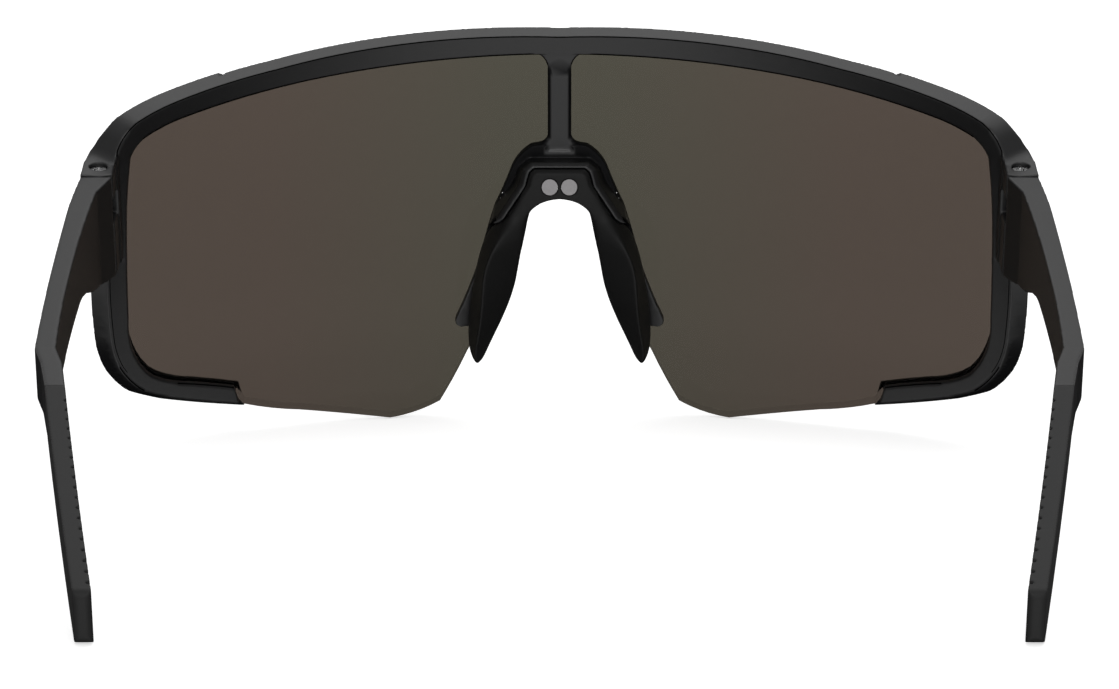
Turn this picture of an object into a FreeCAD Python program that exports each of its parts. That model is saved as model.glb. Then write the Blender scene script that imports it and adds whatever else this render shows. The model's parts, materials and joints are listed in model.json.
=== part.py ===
"""Wraparound sport sunglasses, in millimetres.

The glasses are designed level: X runs across the face, Y rearwards along the temples and Z up,
square to the temples.  Y starts at the plane that touches the front of the lens, and
Z just above the lowest points of the lens.  Every piece is drawn in that level frame.  At the
end all of them get one Placement, which lowers the temple tips until the lens and both tips
rest on Z = 0, as the glasses lie on a table.
"""
import FreeCAD, Part
import math
import os
import Sketcher
from FreeCAD import Placement, Rotation, Vector

# ---------------------------------------------------------------- driving dimensions
SIZES = [
    # lens: a shield cut from a torus
    ("lens_base_radius", 88.0, "horizontal radius of the lens, outside"),
    ("lens_drop_radius", 110.0, "vertical radius of the lens, outside"),
    ("lens_equator", 33.0, "height at which the lens stands furthest forward"),
    ("lens_sweep", 132.0, "angle of the blank that the shield is cut from, in degrees"),
    ("lens_thickness", 2.0, "moulded shield"),
    ("lens_capture", 1.4, "width of lens edge held behind the frame"),
    ("lens_cover", 0.6, "width of lens edge that the front lip covers"),
    ("lens_play", 0.05, "gap between the lens and its groove"),
    ("lens_lobe_x", 24.0, "lowest point of the lens, beside the nose"),
    ("lens_lobe_z", -6.5, "height of that lowest point"),
    # front frame
    ("frame_lip", 0.8, "frame in front of the lens"),
    ("frame_back", 0.8, "frame behind the lens"),
    ("brow_top", 55.1, "height of the brow at the centre"),
    ("brow_relief", 0.5, "step in the front of the brow"),
    ("opening_top", 51.35, "top of the lens opening at the centre"),
    ("opening_half", 65.5, "half width of the lens opening"),
    ("rim_low_x", 50.74, "inner end of the lower rim"),
    ("rim_low_z", 3.73, "lens opening at that end"),
    ("rim_slant", 2.1, "slant of the cut end of the lower rim"),
    ("post_width", 3.7, "centre post behind the lens"),
    ("post_depth", 1.3, "front to back"),
    ("post_foot", 4.0, "foot of the post above the magnets"),
    # hinge
    ("hinge_x", 68.55, "screw axis"),
    ("hinge_behind", 4.68, "screw axis behind the front of the lens at that width"),
    ("hinge_width", 4.7, "across the hinge block"),
    ("hinge_top", 45.5, "top of the hinge block at the joint"),
    ("hinge_bottom", 29.4, "underside of the hinge block"),
    ("joint_setback", 3.5, "joint face of the temple behind the screw axis"),
    ("joint_gap", 0.12, "gap between frame and temple"),
    ("tongue_top", 41.25, "top of the temple tongue"),
    ("tongue_height", 3.6, "height of the temple tongue"),
    ("tongue_radius", 1.6, "nose of the tongue round the screw"),
    ("tongue_play", 0.06, "gap above and below the tongue"),
    ("tongue_clear", 0.15, "gap round the tongue"),
    ("screw_diameter", 1.4, "M1.4 shank"),
    ("screw_length", 11.7, "under the head"),
    ("screw_head", 2.3, "head diameter"),
    ("screw_head_height", 0.8, "head height"),
    ("screw_sink", 1.1, "head seat below the top of the block"),
    ("screw_recess", 2.65, "recess round the head"),
    ("screw_play", 0.03, "radial running clearance on the shank"),
    ("bush_diameter", 2.2, "bush in the tongue"),
    ("insert_diameter", 2.5, "threaded insert in the lower lug"),
    ("insert_length", 4.6, "threaded insert in the lower lug"),
    # temples
    ("temple_thickness", 2.75, "across the arm"),
    ("temple_bow", 0.7, "outward bow of the arm"),
    ("temple_top", 43.0, "top of the arm behind the hinge"),
    ("temple_height", 7.9, "height of the arm behind the hinge"),
    ("taper_reach", 24.5, "from the screw axis to where the deep hinge end has thinned down"),
    ("knuckle_reach", 59.9, "from the screw axis to the inward step of the arm"),
    ("knuckle_step", 1.4, "inward step of the arm"),
    ("knuckle_length", 4.9, "length of that step"),
    ("arm_reach", 72.3, "from the screw axis to the joint of arm and sleeve"),
    ("sleeve_start_x", 66.8, "middle of the arm at that joint"),
    ("temple_reach", 131.5, "from the screw axis to the rear end of the sleeve"),
    ("tip_x", 56.9, "middle of the sleeve at its end"),
    ("tip_height", 7.7, "height of the sleeve at its end"),
    ("tip_round", 1.2, "rounding of the tip"),
    ("grip_pitch", 2.88, "pitch of the grip notches"),
    ("grip_width", 0.7, "width of a grip notch"),
    ("grip_depth", 0.35, "depth of a grip notch"),
    ("core_thickness", 0.9, "flat steel core"),
    ("core_height", 2.4, "flat steel core"),
    ("core_in_arm", 9.0, "length of the core moulded into the arm"),
    ("core_reach", 122.5, "from the screw axis to the rear end of the core"),
    ("core_play", 0.03, "gap round the core"),
    # nose bridge and pad
    ("seat_tilt", 20.0, "lean of the pad seat, in degrees"),
    ("seat_y", 8.6, "face of the pad at the magnets"),
    ("seat_z", 30.8, "height of the magnets"),
    ("seat_play", 0.06, "gap between stacked pieces of the seat"),
    ("rim_drop", 0.6, "rim of the seat below the face of the pad"),
    ("skirt_thickness", 1.8, "skirt behind the lens"),
    ("skirt_gap", 0.15, "gap between lens and skirt"),
    ("skirt_foot_x", 16.6, "lower corner of the skirt"),
    ("skirt_foot_z", 7.2, "lower corner of the skirt"),
    ("pad_skin", 0.9, "rubber over the carrier"),
    ("carrier_thickness", 0.6, "hard plate in the pad"),
    ("magnet_diameter", 2.5, "visible disc"),
    ("magnet_spacing", 3.05, "centre to centre"),
    ("magnet_length", 1.4, "pad magnet"),
    ("frame_magnet_length", 1.2, "hidden magnet in the bridge"),
    ("arch_top", 28.8, "top of the nose arch"),
    ("arch_width", 10.2, "nose arch just below its top"),
]

doc = FreeCAD.newDocument("sport_sunglasses")
sheet = doc.addObject("Spreadsheet::Sheet", "dims")
for row, (alias, number, meaning) in enumerate(SIZES, start=1):
    sheet.set(f"A{row}", alias)
    sheet.set(f"B{row}", str(number))
    sheet.set(f"C{row}", meaning)
    sheet.setAlias(f"B{row}", alias)
doc.recompute()


class Size:
    """A length that knows both its present value and its formula in the sheet."""

    def __init__(self, value, formula):
        self.value = float(value)
        self.formula = formula

    def _join(self, other, sign, value):
        return Size(value, f"({self.formula} {sign} {as_size(other).formula})")

    def __add__(self, other):
        return self._join(other, "+", self.value + as_size(other).value)

    def __sub__(self, other):
        return self._join(other, "-", self.value - as_size(other).value)

    def __mul__(self, other):
        return self._join(other, "*", self.value * as_size(other).value)

    def __truediv__(self, other):
        return self._join(other, "/", self.value / as_size(other).value)

    def __neg__(self):
        return Size(-self.value, f"(-1 * {self.formula})")

    def __radd__(self, other):
        return as_size(other) + self

    def __rsub__(self, other):
        return as_size(other) - self

    def __rmul__(self, other):
        return as_size(other) * self


def as_size(number):
    return number if isinstance(number, Size) else Size(number, repr(float(number)))


def root(size):
    return Size(math.sqrt(size.value), f"sqrt({size.formula})")


def sine(angle):
    return Size(math.sin(math.radians(angle.value)), f"sin({angle.formula})")


def cosine(angle):
    return Size(math.cos(math.radians(angle.value)), f"cos({angle.formula})")


class Dims:
    """The sheet's cells as attributes."""


d = Dims()
for alias, number, meaning in SIZES:
    setattr(d, alias, Size(number, f"dims.{alias}"))


def across_to_back(radius, x):
    """How far behind the front of a circle in plan its point at x lies."""
    return radius - root(radius * radius - x * x)


hinge_y = across_to_back(d.lens_base_radius, d.hinge_x) + d.hinge_behind
taper_end = hinge_y + d.taper_reach
knuckle_y = hinge_y + d.knuckle_reach
sleeve_start = hinge_y + d.arm_reach
tip_y = hinge_y + d.temple_reach
core_end = hinge_y + d.core_reach


def bind(thing, prop, size):
    """Bind one property of a document object to a formula."""
    thing.setExpression(prop, as_size(size).formula)


# ---------------------------------------------------------------- sketching and features
def body(name):
    return doc.addObject("PartDesign::Body", name)


def origin_part(owner, role):
    return [part for part in owner.Origin.OriginFeatures if part.Role == role][0]


def sketch_on(owner, plane, name, lift=None, placement=None):
    """A sketch on an origin plane of its body, lifted along the plane's normal."""
    sketch = owner.newObject("Sketcher::SketchObject", name)
    sketch.AttachmentSupport = (origin_part(owner, plane), [""])
    sketch.MapMode = "FlatFace"
    if placement is not None:
        sketch.AttachmentOffset = placement
    if lift is not None:
        bind(sketch, "AttachmentOffset.Base.z", lift)
    return sketch


def pin(sketch, edge, end, point):
    """Fix one end of a sketch edge to a place given by two formulas."""
    for kind, size in (("DistanceX", as_size(point[0])), ("DistanceY", as_size(point[1]))):
        index = sketch.addConstraint(Sketcher.Constraint(kind, edge, end, size.value))
        sketch.setExpression(f"Constraints[{index}]", size.formula)


START, END = 1, 2


def bulges_left(point):
    return len(point) == 3 and as_size(point[2]).value > 0


def outline(sketch, points):
    """A closed outline.  A point is (u, v), or (u, v, sag) where an arc leads to the next point:
    sag is how far that arc stands off its chord, to the left of the way along it."""
    first = sketch.GeometryCount
    count = len(points)
    for i, point in enumerate(points):
        start = place(point)
        stop = place(points[(i + 1) % count])
        if len(point) == 2:
            sketch.addGeometry(Part.LineSegment(start, stop))
            continue
        along = stop - start
        left = Vector(-along.y, along.x) / along.Length
        middle = (start + stop) * 0.5 + left * as_size(point[2]).value
        if bulges_left(point):
            start, stop = stop, start
        sketch.addGeometry(Part.Arc(start, middle, stop))
    for i, point in enumerate(points):
        after = points[(i + 1) % count]
        edge = first + i
        next_edge = first + (i + 1) % count
        edge_start, edge_end = (END, START) if bulges_left(point) else (START, END)
        next_start = END if bulges_left(after) else START
        sketch.addConstraint(Sketcher.Constraint("Coincident", edge, edge_end, next_edge, next_start))
        pin(sketch, edge, edge_start, point)
        if len(point) == 3:
            radius = arc_radius(point, after)
            index = sketch.addConstraint(Sketcher.Constraint("Radius", edge, radius.value))
            sketch.setExpression(f"Constraints[{index}]", radius.formula)


def place(point):
    return Vector(as_size(point[0]).value, as_size(point[1]).value, 0)


def arc_radius(point, after):
    """Radius of the arc that stands a given sag off its chord."""
    across = as_size(after[0]) - point[0]
    along = as_size(after[1]) - point[1]
    sag = as_size(point[2])
    if sag.value < 0:
        sag = -sag
    half_squared = (across * across + along * along) / 4
    return (half_squared + sag * sag) / (2 * sag)


def backwards(points):
    """The same open path, walked the other way."""
    path = []
    for i in range(len(points) - 1, -1, -1):
        here = points[i][:2]
        before = points[i - 1] if i else ()
        path.append(here + (-as_size(before[2]),) if len(before) == 3 else here)
    return path


def mirrored(half):
    """An outline that is alike on both sides, from its right half, top middle to low middle."""
    left = []
    for i in range(len(half) - 1, 0, -1):
        here = (-as_size(half[i][0]), half[i][1])
        before = half[i - 1]
        left.append(here + (before[2],) if len(before) == 3 else here)
    right = list(half)
    if as_size(half[-1][0]).value == 0:
        right = right[:-1]
    if as_size(half[0][0]).value != 0:
        left.append((-as_size(half[0][0]), half[0][1]))
    return right + left


def sided(points, side):
    """A plan outline of the right side, or the same on the left."""
    if side > 0:
        return points
    return [(-as_size(p[0]), p[1]) + ((-as_size(p[2]),) if len(p) == 3 else ()) for p in points]


def box_points(x_low, x_high, y_low, y_high):
    return [(x_low, y_low), (x_high, y_low), (x_high, y_high), (x_low, y_high)]


def circle(sketch, x, y, radius):
    """A circle whose centre and radius are bound to formulas."""
    radius = as_size(radius)
    edge = sketch.addGeometry(Part.Circle(place((x, y)), Vector(0, 0, 1), radius.value))
    pin(sketch, edge, 3, (x, y))
    index = sketch.addConstraint(Sketcher.Constraint("Radius", edge, radius.value))
    sketch.setExpression(f"Constraints[{index}]", radius.formula)


def extrude(owner, kind, name, sketch, length, ahead=True, both=False, taper=None):
    """A Pad or a Pocket of a sketch, bound to its length."""
    feature = owner.newObject(f"PartDesign::{kind}", name)
    feature.Profile = sketch
    feature.SideType = "Symmetric" if both else "One side"
    bind(feature, "Length", length)
    if taper is not None:
        bind(feature, "TaperAngle", taper)
    # a pad follows the sketch's normal and a pocket goes against it
    feature.Reversed = (not ahead) if kind == "Pad" else ahead
    return feature


def front_radius(height):
    """Radius in plan of the frame's front at one height."""
    upright = d.lens_drop_radius + d.frame_lip
    fall = height - d.lens_equator
    return d.lens_base_radius - d.lens_drop_radius + root(upright * upright - fall * fall)


def square_cut(owner, name, points, apex):
    """Cut with an outline whose walls all run to one point of the lens's upright axis.

    Such walls stand square to the shell.  A point of the outline is (slope of the wall in plan,
    height on the front of the frame), and apex is the height of the point where walls meet."""
    sections = []
    for where, reach in (("near", d.lens_base_radius + 12), ("far", d.lens_base_radius - 62)):
        sketch = sketch_on(owner, "XZ_Plane", f"{name}_{where}", lift=reach - d.lens_base_radius)
        path = []
        for slope, height, *sag in points:
            slope = as_size(slope)
            height = as_size(height)
            share = reach / (front_radius(height) / root(1 + slope * slope))
            path.append((reach * slope, apex + (height - apex) * share, *[as_size(g) * share for g in sag]))
        outline(sketch, path)
        sections.append(sketch)
    cut = owner.newObject("PartDesign::SubtractiveLoft", name)
    cut.Profile = sections[0]
    cut.Sections = sections[1:]
    cut.Ruled = True
    return cut


def pad(owner, name, sketch, length, **how):
    return extrude(owner, "Pad", name, sketch, length, **how)


def pocket(owner, name, sketch, length, **how):
    return extrude(owner, "Pocket", name, sketch, length, **how)


def combine(kind, name, first, second):
    """A Part boolean of two finished shapes."""
    result = doc.addObject(f"Part::{kind}", name)
    result.Base = first
    result.Tool = second
    return result


FAR = as_size(200)          # longer than any piece, for cuts that go right through


# ---------------------------------------------------------------- surfaces of the shield
def shield_layer(owner, name, front, back):
    """One layer of the torus that the lens is cut from.

    front and back are the depths of its two faces behind the outside of the lens."""
    half_height = d.lens_drop_radius * 0.42
    sketch = sketch_on(owner, "YZ_Plane", name + "_section")
    low = d.lens_equator - half_height
    high = d.lens_equator + half_height
    faces = []
    for depth in (front, back):
        radius = d.lens_drop_radius - depth
        reach = root(radius * radius - half_height * half_height)
        faces.append((d.lens_drop_radius - reach, radius - reach))
    (front_y, front_sag), (back_y, back_sag) = faces
    outline(sketch, [(front_y, low, front_sag), (front_y, high), (back_y, high, -back_sag), (back_y, low)])
    axis = sketch.addGeometry(Part.LineSegment(place((d.lens_base_radius, 0)), place((d.lens_base_radius, 10))), True)
    pin(sketch, axis, START, (d.lens_base_radius, 0))
    pin(sketch, axis, END, (d.lens_base_radius, 10))
    turned = owner.newObject("PartDesign::Revolution", name)
    turned.Profile = sketch
    turned.ReferenceAxis = (sketch, ["Axis0"])
    turned.Midplane = True
    bind(turned, "Angle", d.lens_sweep)
    return turned


def keep_inside(owner, name, points):
    """Cut away all that lies outside a front-view outline."""
    sketch = sketch_on(owner, "XZ_Plane", name + "_outline")
    outline(sketch, box_points(-FAR, FAR, -FAR, FAR))
    outline(sketch, points)
    return pocket(owner, name, sketch, FAR * 2, both=True)


# ---------------------------------------------------------------- front-view outlines, right half
def opening_edge(grow):
    """Edge of the lens opening from the middle of the brow to the end of the lower rim."""
    top = d.opening_top
    side = d.opening_half
    return [
        (0, top + grow, 0.2),
        (38.0, top - 0.95 + grow, 0.12),
        (57.4 + grow * 0.25, top - 2.45 + grow, 0.15),
        (side - 3.5 + grow * 0.5, top - 3.6 + grow * 0.85, 0.4),
        (side - 1.2 + grow * 0.95, top - 6.55 + grow * 0.35, 0.15),
        (side - 0.2 + grow, 33.7, 0.1),
        (side + grow, 19.5, 0.85),
        (side - 2.6 + grow * 0.75, 10.2 - grow * 0.65, 0.25),
        (side - 6.75 + grow * 0.5, 7.2 - grow * 0.86),
        (d.rim_low_x, d.rim_low_z - grow),
    ]


def brow_line():
    """Front edge of the brow's top from the middle to the hinge: slope in plan, height."""
    return [
        (0, d.brow_top, 0.12),
        (0.6, d.brow_top - 1.05, 0.03),
        (0.95, d.brow_top - 2.35, 0.13),
        (1.13, d.brow_top - 3.6, 0.33),
        (1.225, d.hinge_top + 3.8, 0.13),
        (1.262, d.hinge_top + 1.45, -0.09),
        (1.3, d.hinge_top + 0.55, -0.02),
        (1.36, d.hinge_top + 0.42),
        (1.7, d.hinge_top + 0.42),
    ]


def lens_edge(grow):
    """The whole edge of the lens from the top middle to the top of the nose notch."""
    grow = as_size(grow)
    held = opening_edge(d.lens_capture + grow)
    low = d.lens_lobe_z - grow
    return held + [
        (d.rim_low_x - 1.3, d.rim_low_z - 3.2 - grow, 0.25),
        (41, d.lens_lobe_z + 3.9 - grow, 0.1),
        (d.lens_lobe_x + 3, low + 0.1, 0.4),
        (d.lens_lobe_x - 4.9, low + 1.7, 0.15),
        (14.7 - grow, 2.5, 0.2),
        (8.5 - grow, 14.0, -0.2),
        (6.0 - grow, 24.0, -1.0),
        (2.5, 29.0 + grow),
        (0, 29.0 + grow),
    ]


def skirt_path():
    """Outside of the post and the skirt, then the frame's own arch."""
    half = d.post_width / 2
    return [
        (0, d.brow_top - 2.0),
        (half + 1.75, d.brow_top - 2.0),
        (half + 1.75, d.opening_top),
        (half + 1.2, d.opening_top - 0.1, -0.25),
        (half, d.opening_top - 2.1),
        (half, 37.5, -0.3),
        (half + 1.3, 36.2),
        (4.5, 35.9, 0.35),
        (7.5, 32.5, -0.1),
        (10.3, 25.9, 0.1),
        (12.7, 17.3, -0.2),
        (d.skirt_foot_x, d.skirt_foot_z + 0.9, 0.35),
        (d.skirt_foot_x - 1.0, d.skirt_foot_z - 0.3),
    ] + backwards(arch_path(1.2, d.skirt_foot_z - 0.3))


def arch_path(grow, foot):
    """The nose arch from its top middle down to a level."""
    grow = as_size(grow)
    half = d.arch_width / 2 + grow
    return [
        (0, d.arch_top + grow, 0.2),
        (half - 1.7, d.arch_top - 1.1 + grow * 0.8, 0.3),
        (half - 0.2, d.arch_top - 3.4 + grow * 0.3),
        (half + 0.95, 20.4),
        (half + 1.8, 15.3, -0.2),
        (half + 4.36, 7.7),
        (half + 4.36 + (7.7 - as_size(foot)) * 0.47, foot),
    ]


# ---------------------------------------------------------------- places on the hinge and the seat
outer_x = d.hinge_x + d.hinge_width / 2
inner_x = d.hinge_x - d.hinge_width / 2
joint_y = hinge_y + d.joint_setback
slot_low = d.tongue_top - d.tongue_height - d.tongue_play
slot_high = d.tongue_top + d.tongue_play
head_seat = d.hinge_top - d.screw_sink
shank_radius = d.screw_diameter / 2
insert_top = slot_low - 0.2
insert_low = insert_top - d.insert_length


def seat_sketch(owner, name, depth):
    """A sketch parallel to the pad seat, a depth in front of the face of the pad.

    It looks forward: u runs across, v up the seat, and its normal points at the lens."""
    seat_turn = Placement(Vector(0, 0, 0), Rotation(Vector(1, 0, 0), d.seat_tilt.value))
    sketch = sketch_on(owner, "XZ_Plane", name, placement=seat_turn)
    depth = as_size(depth)
    bind(sketch, "AttachmentOffset.Rotation.Angle", d.seat_tilt)
    bind(sketch, "AttachmentOffset.Base.y", d.seat_z - depth * sine(d.seat_tilt))
    bind(sketch, "AttachmentOffset.Base.z", depth * cosine(d.seat_tilt) - d.seat_y)
    return sketch


def seat_outline(play, foot):
    """The recess of the seat, which the top of the pad fills, in the seat's own plane."""
    play = as_size(play)
    foot = as_size(foot)
    return [
        (0, 2.95 - play),
        (4.0 - play * 0.6, 2.95 - play),
        (4.75 - play * 0.8, 2.25 - play * 0.7),
        (5.35 - play, 0.0),
        (8.2 - play, -4.2),
        (8.2 - play - (foot + 4.2) * 0.65, foot),
        (0, foot),
    ]


def magnet_circles(sketch, radius):
    for side in (-1, 1):
        circle(sketch, d.magnet_spacing / 2 * side, 0, radius)


# ---------------------------------------------------------------- front frame
def make_shell():
    """Brow, sides and lower rims with the hinge blocks, one moulding."""
    owner = body("shell")
    shield_layer(owner, "shell_layer", -d.frame_lip, d.lens_thickness + d.frame_back)
    wide = outer_x + 4
    keep_inside(owner, "shell_front", mirrored([
        (0, d.brow_top + 2),
        (wide, d.brow_top + 2),
        (wide, -4.0),
        (d.rim_low_x - d.rim_slant, -4.0),
    ] + backwards(opening_edge(as_size(0)))))

    # the hinge block widens the corner of the brow and reaches back to the joint
    block = sketch_on(owner, "XY_Plane", "block_plan", lift=d.hinge_bottom)
    corner = sketch_on(owner, "XY_Plane", "corner_plan", lift=d.hinge_bottom)
    reach = d.joint_setback - d.joint_gap
    inner_rear = root(reach * reach - d.hinge_width * d.hinge_width / 4)
    corner_sag = reach - root((reach * reach + inner_rear * reach) / 2)
    outside = [
        (outer_x - 1.2, hinge_y - 5.05),
        (outer_x - 0.5, hinge_y - 4.75, -0.2),
        (outer_x, hinge_y - 1.6),
    ]
    for side in (-1, 1):
        outline(corner, sided([
            (outer_x - 5.0, hinge_y - 1.6),
            (outer_x - 5.0, hinge_y - 6.8, -0.05),
            (outer_x - 2.7, hinge_y - 5.35),
        ] + outside, side))
    pad(owner, "corner", corner, d.brow_top - d.hinge_bottom + 1)

    # underside and outer edge of jaw and lower rim
    jaw = [
        (1.31, 80.0),
        (1.31, d.hinge_bottom + 2.1),
        (1.33, d.hinge_bottom, 0.2),
        (1.362, 17.5, 0.65),
        (1.329, 11.7, 0.44),
        (1.2115, 7.0, 0.05),
        (1.065, 4.15, 0.1),
        (0.75, -0.95),
        (0.60, -3.4),
        (0.60, -40.0),
        (2.4, -40.0),
        (2.4, 80.0),
    ]
    for side in (-1, 1):
        square_cut(owner, "jaw_" + ("left", "right")[side > 0], sided(jaw, side), d.lens_equator)

    for side in (-1, 1):
        plan = [
            (inner_x, hinge_y - 4.3),
            (outer_x - 4.0, hinge_y - 6.4),
            (outer_x - 2.4, hinge_y - 5.4),
        ] + outside + [
            (outer_x, hinge_y + reach),
            (d.hinge_x, hinge_y + reach, -corner_sag),
            (inner_x, hinge_y + inner_rear),
        ]
        outline(block, sided(plan, side))
    pad(owner, "block", block, d.hinge_top - d.hinge_bottom + 1)

    # top of the brow, which falls to the hinge and runs out along its top
    square_cut(owner, "brow", mirrored([
        (0, d.brow_top + 6),
        (1.7, d.brow_top + 6),
    ] + backwards(brow_line())), d.lens_equator + 5.5)

    fork = sketch_on(owner, "XY_Plane", "fork_plan", lift=slot_low)
    radius = d.tongue_radius + d.tongue_clear
    for side in (-1, 1):
        outline(fork, sided([
            (d.hinge_x + radius, joint_y + 2),
            (inner_x - 6, joint_y + 2),
            (inner_x - 6, hinge_y - radius),
            (d.hinge_x, hinge_y - radius, -radius * 0.292893),
            (d.hinge_x + radius, hinge_y),
        ], side))
    pocket(owner, "fork", fork, slot_high - slot_low, ahead=True)

    hinge_hole(owner, "recess", head_seat, d.screw_recess / 2, FAR)
    hinge_hole(owner, "shank_hole", slot_high - 0.5, shank_radius + d.screw_play, head_seat - slot_high + 1)
    hinge_hole(owner, "insert_hole", insert_low - 0.1, d.insert_diameter / 2 + 0.02, slot_low - insert_low + 0.2)
    return owner


def hinge_hole(owner, name, low, radius, height):
    """Round holes on both screw axes, from one level upwards."""
    sketch = sketch_on(owner, "XY_Plane", name + "_circle", lift=low)
    for side in (-1, 1):
        circle(sketch, d.hinge_x * side, hinge_y, radius)
    return pocket(owner, name, sketch, height, ahead=True)


def make_bridge():
    """Post, seat and skirt behind the lens: the part of the frame that carries the nose pad."""
    front = d.lens_thickness + d.skirt_gap
    foot = d.seat_z + d.post_foot
    skirt = body("skirt")
    shield_layer(skirt, "skirt_layer", front, front + d.skirt_thickness)
    keep_inside(skirt, "skirt_front", mirrored(skirt_path()))
    above = sketch_on(skirt, "YZ_Plane", "skirt_top")
    outline(above, box_points(front - 4, front + 12, foot + 1.3, d.brow_top + 4))
    pocket(skirt, "skirt_top_cut", above, FAR, both=True)
    slope = sketch_on(skirt, "XZ_Plane", "post_foot", lift=-(front + d.skirt_thickness + 0.05))
    flare = d.post_width / 2 + 0.5
    outline(slope, box_points(-flare, flare, foot, foot + 3))
    pocket(skirt, "post_foot_cut", slope, d.skirt_thickness - d.post_depth + 0.1, taper=-48)

    post = body("post")
    shield_layer(post, "post_layer", front + 0.1, front + d.post_depth)
    keep_inside(post, "post_front", mirrored(skirt_path()[:7] + [
        (d.post_width / 2 + 1.3, foot),
        (0, foot),
    ]))

    # the post runs out flush with the back of the brow
    ramp = sketch_on(post, "YZ_Plane", "post_ramp")
    outline(ramp, [
        (front + 2.34, d.opening_top + 1.1),
        (front + 2.14, d.opening_top),
        (front + 2.32, d.opening_top - 4.4),
        (front + 8, d.opening_top - 4.4),
        (front + 8, d.opening_top + 6),
        (front + 2.34, d.opening_top + 6),
    ])
    pocket(post, "post_run_out", ramp, FAR, both=True)

    boss = body("boss")
    top = seat_sketch(boss, "boss_top", d.rim_drop)
    outline(top, mirrored([(0, 3.15), (4.25, 3.15), (5.1, 2.4), (5.7, 0.1), (9.1, -5.0), (0, -5.0)]))
    pad(boss, "boss_rim", top, 0.75, taper=50)
    core = seat_sketch(boss, "boss_core", d.rim_drop + 0.7)
    outline(core, mirrored([(0, 3.9), (4.6, 3.9), (5.8, 2.8), (6.5, 0.3), (9.8, -4.6), (0, -4.6)]))
    pad(boss, "boss_block", core, 8.5, taper=18)
    recess = seat_sketch(boss, "recess_top", -1)
    outline(recess, mirrored(seat_outline(0, -6.9)))
    pocket(boss, "seat_recess", recess, d.pad_skin + d.carrier_thickness + d.seat_play + 1, ahead=True)
    keep_inside(boss, "boss_front", mirrored(skirt_path()))
    pockets = seat_sketch(boss, "magnet_pockets", -1)
    magnet_circles(pockets, d.magnet_diameter / 2 + 0.02)
    seat_floor = d.pad_skin + d.carrier_thickness + d.seat_play
    pocket(boss, "magnet_pocket", pockets, seat_floor + d.frame_magnet_length + 1.1, ahead=True)

    lens_space = body("lens_space")
    shield_layer(lens_space, "lens_space_layer", as_size(-14), front + 0.05)
    trimmed = combine("Cut", "boss_trimmed", boss, lens_space)
    bridge = doc.addObject("Part::MultiFuse", "bridge")
    bridge.Shapes = [skirt, post, trimmed]
    return bridge


def make_lens(name, grow):
    """The shield, or the groove it is held in when it is made a little larger."""
    owner = body(name)
    shield_layer(owner, name + "_layer", -as_size(grow), d.lens_thickness + grow)
    keep_inside(owner, name + "_front", mirrored(lens_edge(grow)))
    return owner


def make_window():
    """What the front lip leaves open, a little wider than the opening behind the lens."""
    owner = body("window")
    shield_layer(owner, "window_layer", as_size(-5), d.lens_thickness / 2)
    keep_inside(owner, "window_front", mirrored(opening_edge(d.lens_capture - d.lens_cover) + [
        (d.rim_low_x - 3.0, d.rim_low_z - 1.5),
        (d.rim_low_x - 3.0, -40.0),
        (0, -40.0),
    ]))
    return owner


def make_relief():
    """Shallow step along the front of the brow, which ends before the corners."""
    owner = body("relief")
    shield_layer(owner, "relief_layer", as_size(-5), d.brow_relief - d.frame_lip)
    keep_inside(owner, "relief_front", mirrored([
        (0, d.brow_top + 3),
        (52.0, d.brow_top + 3),
        (51.2, d.brow_top - 2.5, -0.12),
        (30.0, d.brow_top - 1.2, -0.12),
        (0, d.brow_top - 0.7),
    ]))
    return owner


# ---------------------------------------------------------------- nose pad
WING = [
    # height, then (x, y) round the section: inner front, inner rear, crease, outer rear, outer front
    (28.6, (4.2, 8.2), (4.3, 9.0), (5.9, 9.2), (5.7, 8.8), (5.6, 8.2)),
    (24.5, (4.8, 6.0), (4.9, 10.4), (9.0, 12.8), (10.2, 8.0), (10.2, 6.0)),
    (20.0, (5.9, 5.0), (6.0, 10.2), (11.5, 15.0), (12.3, 9.0), (12.3, 5.0)),
    (14.4, (6.9, 5.0), (7.0, 9.7), (12.2, 16.0), (13.6, 9.5), (13.6, 5.0)),
    (8.6, (8.9, 5.0), (9.1, 9.3), (12.8, 16.0), (14.4, 10.0), (14.4, 5.5)),
    (4.0, (10.8, 6.0), (11.0, 9.3), (13.3, 14.0), (14.3, 11.0), (14.2, 6.0)),
    (2.3, (11.9, 7.5), (12.0, 10.0), (13.1, 12.6), (13.8, 10.8), (13.6, 7.5)),
    (1.5, (12.5, 8.5), (12.6, 10.0), (13.0, 11.4), (13.5, 10.4), (13.4, 8.5)),
]


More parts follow.
